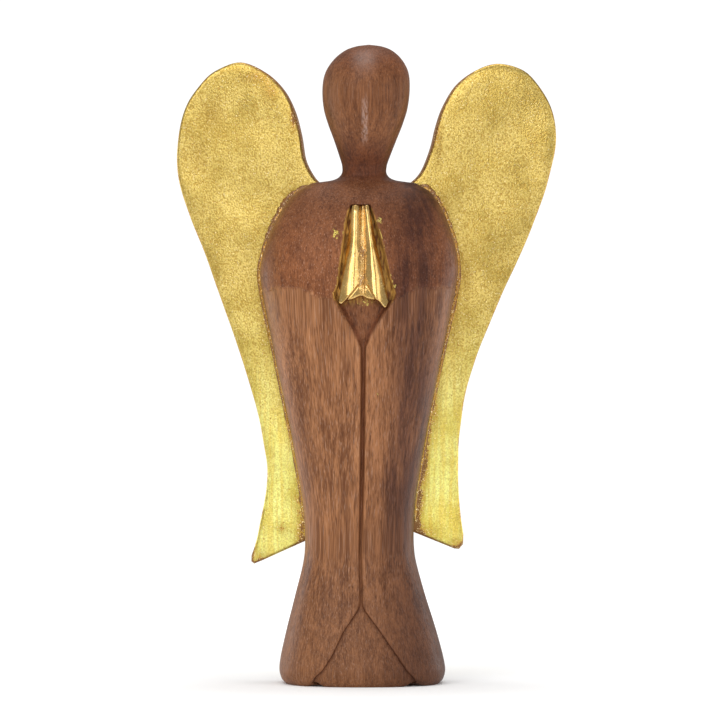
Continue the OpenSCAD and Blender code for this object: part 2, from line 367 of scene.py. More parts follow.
# Columns of points round the block: a side, an edge of the opening, the panel
# inside it, and the back. The flat base is closed in by smaller and smaller rings.
SIDE_COLUMNS = 64
EDGE_COLUMNS = 9
INNER_COLUMNS = 30
BACK_COLUMNS = 50
FRONT_COLUMNS = 2 * SIDE_COLUMNS + 2 * EDGE_COLUMNS + INNER_COLUMNS
BODY_COLUMNS = FRONT_COLUMNS + BACK_COLUMNS
BASE_SHARES = (0.0, 0.35, 0.7, 0.9, 0.97)


def angle_at(x, w, n):
    """The angle that puts a point of a fuller ellipse at x, on its front half."""
    share = max(-1.0, min(1.0, x / w))
    cosine = math.copysign(abs(share) ** (n / 2), share)
    return 2 * math.pi - math.acos(cosine)


def elbow_shift(x):
    """How far the elbow crease lies above or below its nominal height."""
    return (-2.0 + 3.6 * rise(abs(x), 11, 19) - rise(-x, 24, 29)) * MM


def opening_edges(z, w):
    left, right = (straight_along(OPENING, z, k) for k in (1, 2))
    limit = FLAP_LIMIT * w
    return max(left, -limit), min(right, limit)


def column_turn(column, left, right, wall, w, n):
    """The angle of a column, from the left over the opening to the right, then the back."""
    if column < SIDE_COLUMNS:
        return math.pi + (angle_at(left - wall, w, n) - math.pi) * column / SIDE_COLUMNS
    column -= SIDE_COLUMNS
    if column < EDGE_COLUMNS:
        return angle_at(left + (column / EDGE_COLUMNS * 2 - 1) * wall, w, n)
    column -= EDGE_COLUMNS
    if column < INNER_COLUMNS:
        return angle_at(left + wall + column / INNER_COLUMNS * (right - left - 2 * wall), w, n)
    column -= INNER_COLUMNS
    if column < EDGE_COLUMNS:
        return angle_at(right + (column / EDGE_COLUMNS * 2 - 1) * wall, w, n)
    column -= EDGE_COLUMNS
    if column < SIDE_COLUMNS:
        start = angle_at(right + wall, w, n)
        return start + (2 * math.pi - start) * column / SIDE_COLUMNS
    return math.pi * (column - SIDE_COLUMNS) / BACK_COLUMNS


def body_point(column, z, share):
    """A point of the block, and its masks: painted shade and dirt in the opening, chest, gold and stain.
    """
    w, _, behind, cx, cy = section_size(z)
    n = FULL_ROBE if z < SHOULDER_Z else FULL_HEAD
    left, right = opening_edges(z, w)
    left -= cx
    right -= cx
    below_hands = rise(z, 106, 110) * (1 - rise(z, 118, 122))
    steep = 0.45 + 0.3 * smooth_step(z, SPLIT_Z - 3 * MM, SPLIT_Z + 2 * MM)
    wall = min((steep + 1.3 * below_hands) * MM, 0.42 * (right - left))
    turn = column_turn(column, left, right, wall, w, n)
    x = w * math.copysign(abs(math.cos(turn)) ** (2 / n), math.cos(turn))
    if column < FRONT_COLUMNS:
        z_here = z - elbow_shift(x) * hump(z, ELBOW_Z, CREASE_FADE)
        w2, front2 = section_size(z_here)[:2]
        x *= w2 / w
        depth = -front2 * abs(math.sin(turn)) ** (2 / n)
    else:
        z_here = z
        depth = behind * abs(math.sin(turn)) ** (2 / n)
    seated = SEAT_FROM_Z <= z <= SHOULDER_Z
    rest = SEAT_Y + abs(x + cx) * math.tan(WING_SWEEP) - cy
    if seated:
        depth = min(depth, rest)
    shade_and_dirt, gold, stain = 0.0, 0.0, 0.0
    at_front = rise(-depth, -2, 3)
    # the robe tucks in under the sleeves
    tuck = smooth_step(z_here, ELBOW_Z - 9 * MM, ELBOW_Z) if z_here < ELBOW_Z else 0.0
    depth += at_front * 0.45 * MM * tuck
    # the saw cut shows across the grain on the chest and the crown, less on the face
    ragged = 1.7 * MM * bumps((x * 1300, z * 60, 0))
    chest = smooth_step(z_here + ragged, ELBOW_Z - 0.5 * MM, ELBOW_Z + 0.9 * MM)
    chest *= 1 - 0.7 * rise(z, 158, 167) * (1 - rise(z, 186, 197))
    # the opening
    if column < FRONT_COLUMNS:
        inside = min(x - left, right - x)
        lip = smooth_step(inside, -0.35 * wall, wall)
        drop = opening_depth(x + cx, z, depth + cy, inside, wall)
        depth += lip * drop
        # painted shade, with some dirt, darkens the opening
        shade_and_dirt = recess_shade(z, inside, wall)
        gold = gold_on_front(x + cx, z, inside)
        stain = stain_in_pocket(x, z, inside)
    # a slight keel down the face
    keel = rise(z, 163, 168) * (1 - rise(z, 176, 184))
    depth -= 0.55 * MM * math.exp(-abs(x + cx - 1 * MM) / (1.6 * MM)) * keel * at_front
    place = Vector((x + cx, depth + cy, z))
    # the wings' gilding runs over on to the wood beside them
    if SEAT_FROM_Z < z < SHOULDER_Z + 1 * MM:
        reach = (0.75 + 0.8 * bumps(place, 260) + 0.9 * rise(z, 132, 146)) * MM
        spilt = smooth_step(depth - rest, -reach - 0.35 * MM, -reach + 0.25 * MM)
        gold = max(gold, spilt * rise(z, 47, 52))
    # tool and sanding marks leave the surface a little uneven
    out = Vector((x, depth, 0)).normalized() if share > 0.9 else Vector()
    wave = bumps((place.x, place.y, place.z * 0.45), 95)
    ripple = bumps((place.x, place.y, place.z * 0.3), 320)
    still = 1 - rise(depth - rest, -1.5, -0.2) if seated else 1.0
    still *= rise(z, 0, 6) * rise(FIGURE_H - z, 0, 8)
    place += out * still * (0.22 * wave + 0.05 * ripple) * MM
    # the lower corners of the hem flaps are worn away and no longer touch the table
    if column < FRONT_COLUMNS:
        worn = 1.5 * hump(place.x, -14.4 * MM, 1.7 * MM) + 1.4 * hump(place.x, 16.2 * MM, 2.1 * MM)
        place.z += worn * MM * at_front * (1 - rise(z, 0, 9)) * smooth_step(share, 0.7, 0.97)
    if share < 1:
        place.x = cx + (place.x - cx) * share
        place.y = cy + (place.y - cy) * share
    return place, (shade_and_dirt, chest, gold, stain)


def opening_depth(x, z, surface, inside, wall):
    """How far the surface drops inside the edges of the opening."""
    if z > POCKET_FOOT_Z:
        flat = max(0.0, pocket_floor(z) - surface)
        shut = 1 - smooth_step(z, POCKET_TOP_Z, POCKET_TOP_Z + 0.35 * MM)
        cut = 1.3 * MM * (1 - smooth_step(z, POCKET_FOOT_Z, POCKET_FOOT_Z + 3 * MM))
        rim = 0.9 * MM * math.exp(-max(inside - wall, 0) / (1.1 * MM))
        rim *= 1 - rise(z, 117, 121)
        return max(flat, cut, rim) * shut
    if z > SPLIT_Z:
        return 1.5 * MM - 0.7 * MM * rise(64 * MM - z, 0, 36)
    fade = math.exp(-max(inside - wall, 0) / (4.5 * MM))
    return (0.65 * fade + 0.25) * MM


def recess_shade(z, inside, wall):
    """Painted shade in the opening, darkest along its edges; part of it stands for dirt and dark oil
    gathered there.
    """
    within = smooth_step(inside, -0.3 * wall, 0.5 * wall)
    if z > POCKET_FOOT_Z:
        open_here = 1 - smooth_step(z, POCKET_TOP_Z - 1.2 * MM, POCKET_TOP_Z)
        band = math.exp(-max(inside - 0.6 * wall, 0) / (1.2 * MM))
        return within * open_here * (0.62 + 0.38 * band)
    if z > SPLIT_Z:
        return within * (0.50 + 0.32 * rise(z, 40, 70))
    edge = math.exp(-abs(inside - 0.6 * wall) / (0.38 * MM))
    return within * (0.08 + 0.8 * edge)


def stain_in_pocket(x, z, inside):
    """Brown size that ran down the pocket's walls, most of all on the left one."""
    here = rise(inside, -0.35, 0.1) * rise(z, 117, 123)
    here *= 1 - smooth_step(z, POCKET_TOP_Z - 1.5 * MM, POCKET_TOP_Z - 0.5 * MM)
    return here * (1.0 if x < 0 else 0.62)


def blot(x, z, middle_x, middle_z, radius_x, radius_z):
    """A soft spot on the front, given in millimetres."""
    return hump(x, middle_x * MM, radius_x * MM) * hump(z, middle_z * MM, radius_z * MM)


def gold_on_front(x, z, inside):
    """Gold that strayed on to the pocket's edges and on to the chest beside it."""
    spot = Vector((x, z, 0)) * 900
    patch = bumps(spot) * 0.5 + 0.5
    torn = smooth_step(patch, 0.36, 0.6)
    edge = hump(inside, -0.25 * MM, 0.3 * MM) * rise(z, 120, 123)
    edge *= 1 - rise(z, 144, 148)
    smears = blot(x, z, -8.1, 140.2, 1.0, 2.1) + blot(x, z, 5.4, 144.0, 0.8, 1.5)
    fleck = blot(x, z, 5.0, 90.4, 0.35, 0.35)
    corner = blot(x, z, 10.4, 123.5, 0.7, 2.2)
    crumbs = blot(x, z, 0.8, 118.9, 3.0, 1.3) * smooth_step(bumps(spot, 1.6), -0.05, 0.25)
    return min(1.0, crumbs + 0.75 * edge * smooth_step(patch, 0.3, 0.7) + 1.3 * smears * torn + fleck
               + 0.8 * corner * smooth_step(patch, 0.5, 0.7))


# The block's finish: grain runs up the figure, so pores show as long dashes on
# the upright robe and as specks where the chest and the crown slope.
def socket_list(tree, inputs, outputs):
    """Names a group's sockets, their kinds and some starting values."""
    for way, names in (("INPUT", inputs), ("OUTPUT", outputs)):
        for name, kind, *value in names:
            socket = tree.interface.new_socket(name, in_out=way, socket_type="NodeSocket" + kind)
            if value:
                socket.default_value = value[0]


def scaled(tree, point, scale):
    return add_node(tree, "ShaderNodeVectorMath", {"operation": "MULTIPLY"}, _0=point, _1=scale).outputs[0]


def moved(tree, point, offset):
    return add_node(tree, "ShaderNodeVectorMath", {"operation": "ADD"}, _0=point, _1=offset).outputs[0]


def cloud(tree, point, lumps, detail=2.0, roughness=0.5):
    """Smooth noise, with so many lumps to a metre along each axis."""
    point = scaled(tree, point, lumps)
    return add_node(tree, "ShaderNodeTexNoise", vector=point, scale=1.0, detail=detail,
                    roughness=roughness).outputs["Fac"]


def ramp(tree, value, low, high, start=0.0, end=1.0):
    """start below low, end above high, and a smooth ramp between them."""
    settings = {"interpolation_type": "SMOOTHSTEP"}
    return add_node(tree, "ShaderNodeMapRange", settings, value=value, from_min=low, from_max=high,
                    to_min=start, to_max=end).outputs[0]


def reckon(tree, operation, a, b=0.0, clamp=False):
    settings = {"operation": operation, "use_clamp": clamp}
    return add_node(tree, "ShaderNodeMath", settings, _0=a, _1=b).outputs[0]


def times(tree, a, b, clamp=False):
    return reckon(tree, "MULTIPLY", a, b, clamp)


def plus(tree, a, b):
    return reckon(tree, "ADD", a, b)


def minus(tree, a, b):
    return reckon(tree, "SUBTRACT", a, b)


def total(tree, *parts):
    """The sum of values, each given with its weight."""
    value, weight = parts[0]
    result = times(tree, value, weight)
    for value, weight in parts[1:]:
        result = plus(tree, result, times(tree, value, weight))
    return result


def choose(tree, factor, a, b):
    """a where the factor is 0 and b where it is 1."""
    settings = {"data_type": "FLOAT"}
    return add_node(tree, "ShaderNodeMix", settings, factor=factor, a=a, b=b).outputs["Result"]


def blended(tree, factor, a, b, way="MIX"):
    settings = {"data_type": "RGBA", "blend_type": way}
    return add_node(tree, "ShaderNodeMix", settings, factor=factor, a=a, b=b).outputs["Result"]


def build_grain():
    """Straight grained hardwood: broad bands, fine streaks and open pores along Z, with painted glints.

    Cut is 0 where the surface runs with the grain and 1 where it is cut across it.
    """
    tree = bpy.data.node_groups.new("straight_grain", "ShaderNodeTree")
    inputs = [("Point", "Vector"), ("Pale", "Color"), ("Deep", "Color"), ("Cut", "Float", 0.0),
              ("Pores", "Float", 1.0), ("Pore Color", "Color")]
    socket_list(tree, inputs, [("Color", "Color"), ("Height", "Float"), ("Rough", "Float")])
    given = add_node(tree, "NodeGroupInput").outputs
    cut = given["Cut"]
    bend = cloud(tree, given["Point"], (45, 45, 14), 1.0)
    bend = add_node(tree, "ShaderNodeCombineXYZ", x=bend, y=bend, z=0.0).outputs[0]
    point = moved(tree, given["Point"], scaled(tree, bend, (0.004, 0.004, 0)))
    bands = cloud(tree, point, (170, 170, 5))
    streaks = cloud(tree, point, (760, 760, 8), 3.0, 0.6)
    threads = cloud(tree, point, (2300, 2300, 20), 2.0, 0.6)
    mottle = cloud(tree, point, (1100, 1100, 600), 3.0, 0.7)
    long_pores = cloud(tree, point, (4200, 4200, 150), 1.0)
    short_pores = cloud(tree, point, (3300, 3300, 1300), 1.0)
    pale_point = moved(tree, point, (0.3, 0.1, 0.2))
    long_glints = cloud(tree, pale_point, (3600, 3600, 100), 1.0)
    short_glints = cloud(tree, pale_point, (3000, 3000, 1300), 1.0)
    blotch = cloud(tree, point, (210, 210, 150))
    tone = total(tree, (bands, 0.65), (streaks, 0.65), (threads, 0.8))
    cross = plus(tree, total(tree, (mottle, 0.6), (threads, 0.5), (blotch, 0.45)), 0.275)
    tone = choose(tree, cut, tone, cross)
    color = blended(tree, ramp(tree, tone, 0.76, 1.34), given["Deep"], given["Pale"])
    pores = choose(tree, cut, ramp(tree, long_pores, 0.58, 0.74), ramp(tree, short_pores, 0.56, 0.70))
    pores = times(tree, pores, given["Pores"])
    # painted glints: pale flecks in the colour stand in for tiny highlights on the grain
    glints = choose(tree, cut, ramp(tree, long_glints, 0.56, 0.74), ramp(tree, short_glints, 0.58, 0.72))
    glints = times(tree, glints, given["Pores"])
    color = blended(tree, times(tree, pores, 0.42), color, given["Pore Color"])
    glints = times(tree, glints, ramp(tree, cut, 0.0, 1.0, 0.20, 0.36))
    # the painted glints' pale colour
    color = blended(tree, glints, color, (0.66, 0.44, 0.32, 1))
    height = total(tree, (threads, 0.5), (streaks, 0.5), (times(tree, mottle, cut), 1.2), (pores, -1.0))
    rough = plus(tree, ramp(tree, streaks, 0.3, 0.7, 0.38, 0.50), times(tree, pores, 0.25))
    add_node(tree, "NodeGroupOutput", color=color, height=height, rough=rough)
    return tree


def build_leaf():
    """Gold leaf on coarse brushed size: mottled, grainy, brown where it is rubbed, with painted sparkle
    and glints.
    """
    tree = bpy.data.node_groups.new("gold_leaf", "ShaderNodeTree")
    inputs = [("Point", "Vector"), ("Lemon", "Float", 0.0), ("Wear", "Float", 0.0), ("Grit", "Float", 1.0),
              ("Tint", "Color", (1, 1, 1, 1)), ("Polish", "Float", 0.0)]
    outputs = [("Color", "Color"), ("Height", "Float"), ("Rough", "Float"), ("Metal", "Float")]
    socket_list(tree, inputs, outputs)
    given = add_node(tree, "NodeGroupInput").outputs
    point, wear = given["Point"], given["Wear"]
    patches = cloud(tree, point, (90, 90, 90), 4.0, 0.6)
    brush = cloud(tree, point, (1100, 1100, 55), 3.0)
    grit = cloud(tree, point, (1900, 1900, 1700), 2.0, 0.6)
    specks = cloud(tree, moved(tree, point, (0.2, 0.4, 0.1)), (2600, 2600, 2600), 1.0)
    flecks = cloud(tree, moved(tree, point, (0.5, 0.3, 0.7)), (1500, 1500, 1500), 1.0)
    rich = blended(tree, ramp(tree, patches, 0.30, 0.70), (0.49, 0.35, 0.085, 1), (0.70, 0.53, 0.16, 1))
    lemon = blended(tree, ramp(tree, patches, 0.34, 0.66), (0.69, 0.60, 0.13, 1), (0.84, 0.84, 0.28, 1))
    lemon = blended(tree, ramp(tree, brush, 0.60, 0.36, 0.0, 0.5), lemon, (0.72, 0.50, 0.08, 1))
    color = blended(tree, given["Lemon"], rich, lemon)
    shade = ramp(tree, grit, 0.58, 0.38, 0.0, 0.74)
    shade = times(tree, shade, ramp(tree, given["Lemon"], 0.0, 1.0, 1.0, 0.5))
    color = blended(tree, times(tree, shade, given["Grit"]), color, (0.36, 0.22, 0.04, 1))
    color = blended(tree, 1.0, color, given["Tint"], "MULTIPLY")
    dull = total(tree, (wear, 1.0), (minus(tree, patches, 0.5), 0.5))
    color = blended(tree, ramp(tree, dull, 0.02, 0.34, 0.0, 0.8), color, (0.74, 0.68, 0.58, 1), "MULTIPLY")
    # painted sparkle: bright specks painted into the leaf stand in for glinting facets
    color = blended(tree, ramp(tree, specks, 0.64, 0.74, 0.0, 0.45), color, (1.0, 0.90, 0.58, 1))
    pits = times(tree, ramp(tree, flecks, 0.70, 0.76, 0.0, 0.7), given["Grit"])
    torn = total(tree, (wear, 1.0), (minus(tree, grit, 0.5), 1.1))
    torn = reckon(tree, "MAXIMUM", ramp(tree, torn, 0.36, 0.80), pits)
    # painted glints: where the leaf is worn, bright crumbs are painted in and hold back the brown of the
    # bared size
    crumbs = times(tree, ramp(tree, specks, 0.60, 0.68), ramp(tree, wear, 0.30, 0.55, 0.0, 0.7))
    torn = times(tree, torn, ramp(tree, crumbs, 0.0, 0.6, 1.0, 0.2))
    color = blended(tree, crumbs, color, (1.0, 0.82, 0.47, 1))
    color = blended(tree, ramp(tree, torn, 0.0, 0.5, 0.0, 0.65), color, (0.56, 0.28, 0.04, 1))
    color = blended(tree, ramp(tree, torn, 0.4, 1.0, 0.0, 0.85), color, (0.19, 0.07, 0.02, 1))
    height = total(tree, (grit, given["Grit"]), (brush, 0.4), (torn, -0.3))
    rough = plus(tree, ramp(tree, patches, 0.3, 0.7, 0.30, 0.40), times(tree, torn, 0.25))
    rough = minus(tree, rough, times(tree, given["Polish"], 0.17))
    metal = ramp(tree, torn, 0.2, 0.9, 1.0, 0.35)
    add_node(tree, "NodeGroupOutput", color=color, height=height, rough=rough, metal=metal)
    return tree


grain_group = build_grain()
leaf_group = build_leaf()


def new_material(name):
    """A material with an empty shader, its object coordinates and its Principled shader."""
    material = bpy.data.materials.new(name)
    material.use_nodes = True
    tree = material.node_tree
    tree.nodes.clear()
    shader = add_node(tree, "ShaderNodeBsdfPrincipled")
    add_node(tree, "ShaderNodeOutputMaterial", surface=shader.outputs[0])
    point = add_node(tree, "ShaderNodeTexCoord").outputs["Object"]
    return material, tree, shader, point


def relief(tree, height, depth):
    return add_node(tree, "ShaderNodeBump", distance=depth, strength=1.0, height=height).outputs[0]


def height_range(tree, up, low, high):
    """A ramp between two places on an axis, in millimetres."""
    return ramp(tree, up, low * MM, high * MM)


def between(tree, up, low, full, fading, gone):
    """A mask that comes on from low to full and goes off from fading to gone, in millimetres."""
    return times(tree, height_range(tree, up, low, full), height_range(tree, up, gone, fading))


def tinted(tree, color, mask, tint):
    return blended(tree, mask, color, tint + (1,), "MULTIPLY")


def build_carved_wood():
    material, tree, shader, point = new_material("oiled_hardwood")
    carving = add_node(tree, "ShaderNodeAttribute", {"attribute_name": "carving"}).outputs
    shade_and_dirt, chest, gilt = add_node(tree, "ShaderNodeSeparateColor", color=carving["Color"]).outputs
    stain = carving["Alpha"]
    side, depth, up = add_node(tree, "ShaderNodeSeparateXYZ", vector=point).outputs
    # the saw-cut grain shows on the chest, and a little where the hem flares
    across_grain = plus(tree, times(tree, chest, 0.9), ramp(tree, up, 34 * MM, 12 * MM, 0.0, 0.5))
    grain = add_node(tree, "ShaderNodeGroup", {"node_tree": grain_group}, point=point,
                     pale=(0.385, 0.168, 0.070, 1), deep=(0.128, 0.044, 0.015, 1),
                     cut=across_grain, pore_color=(0.048, 0.018, 0.009, 1)).outputs
    color = grain["Color"]
    # the darker heartwood runs up one side of the block
    drift = cloud(tree, point, (60, 60, 9))
    across = plus(tree, side, times(tree, drift, 0.010))
    across = plus(tree, across, ramp(tree, up, 0.100, 0.050, 0.0, 0.0035))
    stripes = cloud(tree, point, (420, 420, 6))
    heart = times(tree, between(tree, across, 14, 19, 24, 29), ramp(tree, stripes, 0.32, 0.62, 0.45, 1.0))
    heart = times(tree, heart, between(tree, up, 28, 64, 156, 163))
    color = tinted(tree, color, heart, (0.44, 0.40, 0.50))
    # so the right side of the whole block is darker than the left, down to the hem
    right = times(tree, height_range(tree, side, -6, 15), height_range(tree, up, 166, 156))
    color = tinted(tree, color, right, (0.72, 0.68, 0.68))
    low_right = times(tree, height_range(tree, side, 0, 18), height_range(tree, up, 90, 40))
    color = tinted(tree, color, low_right, (0.66, 0.62, 0.64))
    color = tinted(tree, color, height_range(tree, up, 58, 22), (0.76, 0.74, 0.75))
    # the chest, the shoulders and the head took up more oil; the left of the brow is painted lighter as
    # painted light from the left, and the neck painted darker as painted shade under the chin
    color = tinted(tree, color, chest, (0.78, 0.64, 0.56))
    color = tinted(tree, color, between(tree, up, 134, 152, 157, 163), (0.78, 0.80, 0.84))
    color = tinted(tree, color, height_range(tree, up, 157, 163), (0.69, 0.635, 0.60))
    # painted light: the left of the brow is lighter, as if lit from the left
    painted_light_left_brow = times(tree, height_range(tree, side, -2, -11), height_range(tree, up, 168, 176))
    color = tinted(tree, color, painted_light_left_brow, (1.03, 1.11, 1.18))
    # painted shade under the chin: the neck is painted darker
    neck = times(tree, between(tree, up, 155, 159, 164, 174), 0.8)
    color = tinted(tree, color, neck, (0.58, 0.43, 0.38))
    # gold size wiped thinly over the left flank, beside the seam
    flank = times(tree, height_range(tree, side, -23.5, -28), height_range(tree, up, 84, 104))
    color = tinted(tree, color, flank, (0.80, 0.78, 0.58))
    # a painted sheen, pale and pinkish, on the brow and down the keel of the face, where a glossy coat is
    # also laid
    near_keel = reckon(tree, "ABSOLUTE", minus(tree, side, 0.9 * MM))
    keel = times(tree, height_range(tree, near_keel, 1.3, 0.5), between(tree, up, 167, 172, 178, 185))
    brow = times(tree, height_range(tree, near_keel, 5.0, 0.6), between(tree, up, 187, 193, 195, 199))
    broken = cloud(tree, point, (1500, 1500, 500), 2.0, 0.7)
    gloss_and_painted_sheen = times(tree, keel, ramp(tree, broken, 0.36, 0.60))
    gloss_and_painted_sheen = plus(tree, gloss_and_painted_sheen, times(tree, brow, ramp(tree, broken, 0.2, 0.9, 0.2, 0.5)))
    gloss_and_painted_sheen = times(tree, gloss_and_painted_sheen, height_range(tree, depth, 0, -4), clamp=True)
    # painted sheen: the pale pinkish colour stands in for a highlight
    color = blended(tree, times(tree, gloss_and_painted_sheen, 0.45), color, (0.43, 0.27, 0.21, 1))
    # painted shade and dirt in the opening, gold size on the pocket's walls, and strayed leaf
    # the opening is painted darker: painted shade, partly dirt
    color = tinted(tree, color, shade_and_dirt, (0.37, 0.25, 0.21))
    runs = cloud(tree, point, (1300, 1300, 260))
    gold_size = blended(tree, ramp(tree, runs, 0.35, 0.65), (0.26, 0.100, 0.030, 1), (0.95, 0.55, 0.13, 1))
    color = blended(tree, stain, color, gold_size)
    leaf = add_node(tree, "ShaderNodeGroup", {"node_tree": leaf_group}, point=point, lemon=0.4, wear=0.0,
                    grit=0.5, polish=0.6).outputs
    crumbly = cloud(tree, point, (2200, 2200, 2000), 2.0, 0.7)
    gilt = times(tree, gilt, ramp(tree, crumbly, 0.40, 0.54, 0.2, 1.0))
    gilt = ramp(tree, gilt, 0.25, 0.6)
    color = blended(tree, gilt, color, leaf["Color"])
    rough = plus(tree, grain["Rough"], times(tree, shade_and_dirt, 0.2))
    rough = minus(tree, rough, times(tree, gilt, 0.12))
    height = plus(tree, grain["Height"], times(tree, gilt, 1.2))
    plug(tree, shader, base_color=color, roughness=rough, metallic=times(tree, gilt, 0.95),
         normal=relief(tree, height, 0.05 * MM), specular_ior_level=0.17, coat_weight=gloss_and_painted_sheen,
         coat_roughness=0.35)
    return material


carved_wood = build_carved_wood()

body_rings = [(0.0, share) for share in BASE_SHARES] + [(z, 1.0) for z in body_heights()]
blank = bmesh.new()
masks_layer = blank.verts.layers.float_color.new("carving")
for point, column, ring in ring_blank(blank, BODY_COLUMNS, len(body_rings) - 1):
    z, share = body_rings[ring]
    turned = (column + BODY_COLUMNS // 2) % BODY_COLUMNS
    point.co, masks = body_point(turned, z, share)
    point[masks_layer] = masks
body = piece_from(blank, "carved_body", carved_wood)
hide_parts("body")
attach(body, "root")

# ------------------------------------------------------------------- wings
# Each wing is a sawn board, 7 mm thick, glued and dowelled to the flat back
# of the block and swept back 5 degrees. Its arrises are rounded by hand and
# the whole board is gilded.
LEFT_OUTLINE = [
    (0, 155), (9, 155.4), (13.3, 157), (16, 160), (18.3, 165),
    (19.6, 172.6), (21.6, 180), (25, 186.6), (30.8, 192.2), (38.7, 195.4),
    (46.4, 192.9), (52.4, 187.2), (56.3, 181), (58.5, 172.7), (58.9, 163),
    (57.6, 155), (54.4, 145.5), (50.5, 136), (45.4, 121.7), (40.3, 107.4),
    (35.7, 93.2), (32.4, 80.5), (30.5, 69.5), (30.4, 62), (31.3, 55),
    (33.3, 45.7), (35.3, 39.4),
]
RIGHT_OUTLINE = [
    (0, 155), (9, 155.4), (13.5, 156.3), (16.5, 157.8), (19.4, 161.3),
    (22, 168), (23.8, 175), (26.4, 182), (30.5, 188.4), (36.3, 192.8),
    (43.2, 195), (50.4, 193.4), (55.2, 189.7), (59.2, 183.4), (61.6, 176),
    (61.6, 168), (59.2, 157.5), (55.1, 145.5), (51.2, 136), (44.6, 121.7),
    (38.5, 107.4), (33.7, 93.2), (31.3, 80), (30.7, 67), (31.2, 55.2),
    (32.4, 46),
]
LEFT_FOOT = [(35.3, 37.4), (34.4, 36.7), (32.4, 37.5), (19.6, 43.2), (0, 51.8)]
RIGHT_FOOT = [(32.2, 42.8), (30.9, 41.3), (29.4, 41.4), (19.4, 45.5), (0, 53.4)]
ARRIS = 0.9 * MM
NEAR_SPINE = 0.1 * MM
GRID = 1.3
WELD = 1e-6
# Places where the gilding is rubbed or dull, or, with a negative amount, painted brighter as highlights on
# the wings' top rims: side, out, height, radius out, radius up, how much.
WEAR_AND_HIGHLIGHT_PLACES = [
    (-1, 34, 190.8, 6, 2.4, 0.50), (-1, 29, 186, 3, 3.8, 0.48), (-1, 21.7, 178, 1.0, 5, 0.90),
    (-1, 47.5, 179, 3.4, 6, 0.30), (-1, 52, 166, 4, 10, 0.22), (-1, 21.4, 58, 3.4, 4, 0.28),
    (-1, 20, 47, 3.4, 5, 0.30), (-1, 25.5, 48, 1.6, 1.6, 0.70), (-1, 33, 38.5, 4, 2.4, 0.50),
    (-1, 39.8, 192.4, 2.6, 1.2, -0.6), (-1, 30.5, 116, 2, 14, 0.30), (-1, 21, 152, 4, 4, 0.34),
    (1, 19.6, 62, 2.4, 12, 0.16), (1, 21.5, 46.5, 5, 3.6, 0.42), (1, 31, 42.5, 4, 2.4, 0.60),
    (1, 24, 172, 1.2, 8, 0.55), (1, 29.5, 114, 2, 14, 0.32), (1, 33, 128, 2, 10, 0.30),
    (1, 25, 149, 3, 7, 0.40), (1, 24, 86, 1.5, 10, 0.30), (1, 40, 192.6, 8, 1.2, -0.5),
]


def curve_through(points, steps):
    """Points on a smooth curve through the given ones."""
    curve = []
    for i in range(len(points) - 1):
        a, b = Vector(points[max(i - 1, 0)]), Vector(points[i])
        c, d = Vector(points[i + 1]), Vector(points[min(i + 2, len(points) - 1)])
        for k in range(steps):
            s = k / steps
            curve.append(0.5 * (2 * b + (c - a) * s + (2 * a - 5 * b + 4 * c - d) * s * s
                                + (3 * b - a - 3 * c + d) * s**3))
    return curve + [Vector(points[-1])]


def build_gilding(name, wear, tint, polish, depth, grit=1.0, lemon_low=60, lemon_high=130):
    """Gilding that grows yellower and brighter from one height down to another; the change is partly a
    painted reflection of the bright table.
    """
    material, tree, shader, point = new_material(name)
    place = add_node(tree, "ShaderNodeSeparateXYZ", vector=point).outputs
    # partly painted reflection: the lower leaf is yellower and brighter, as the bright table shows in it
    lemon = height_range(tree, place[2], lemon_high, lemon_low)
    rubbed = add_node(tree, "ShaderNodeAttribute", {"attribute_name": "rubbed"}).outputs["Fac"]
    rubbed = plus(tree, rubbed, wear)
    leaf = add_node(tree, "ShaderNodeGroup", {"node_tree": leaf_group}, point=point, lemon=lemon,
                    wear=rubbed, grit=grit, tint=tint, polish=polish).outputs
    plug(tree, shader, base_color=leaf["Color"], roughness=leaf["Rough"], metallic=leaf["Metal"],
         normal=relief(tree, leaf["Height"], depth), coat_weight=polish * 1.2, coat_roughness=0.11)
    return material


wing_gilding = build_gilding("wing_gilding", wear=0.0, tint=(1, 1, 1, 1), polish=0.0, depth=0.10 * MM)


def frange(start, stop, step):
    return [start + i * step for i in range(int((stop - start) / step) + 1)]


def wear_at(v, side, inset):
    """How far the gilding is rubbed at a point of the board, less where a highlight is painted, before the
    board is turned.
    """
    x, z = v.co.x, v.co.z
    out = abs(x) / MM
    on_rim = ARRIS * 0.25 < v.co.y < WING_T - ARRIS * 0.25
    wear = 0.0
    if on_rim:
        inner_rim = out < 36 and z > 156 * MM
        wear = 0.95 if inner_rim else 0.42 + 0.5 * bumps(v.co, 260)
    elif z < 54 * MM:
        wear = 0.75 * max(0.0, 1 - inset / (1.2 * MM))
    else:
        wear = 0.30 * max(0.0, 1 - inset / (0.7 * MM))
    # negative amounts are painted highlights
    for where, place_x, place_z, radius_x, radius_z, amount in WEAR_AND_HIGHLIGHT_PLACES:
        if where == side:
            wear += amount * hump(out, place_x, radius_x) * hump(z / MM, place_z, radius_z)
    # a strip beside the seam is rubbed too, wider and more so low down
    if v.co.y < WING_T / 2:
        w, _, _, cx, _ = section_size(z)
        low = rise(z, 100, 60) if side > 0 else rise(z, 76, 50)
        strip = smooth_step(abs(x) - w - side * cx, (2.6 + 1.4 * low) * MM, 0.8 * MM)
        strip *= rise(SHOULDER_Z - z, -2, 0)
        strip *= 1 + 0.8 * bumps((x, side, z), 500)
        wear += (0.34 + 0.52 * low if side > 0 else 0.28 + 0.18 * low) * strip
    return wear


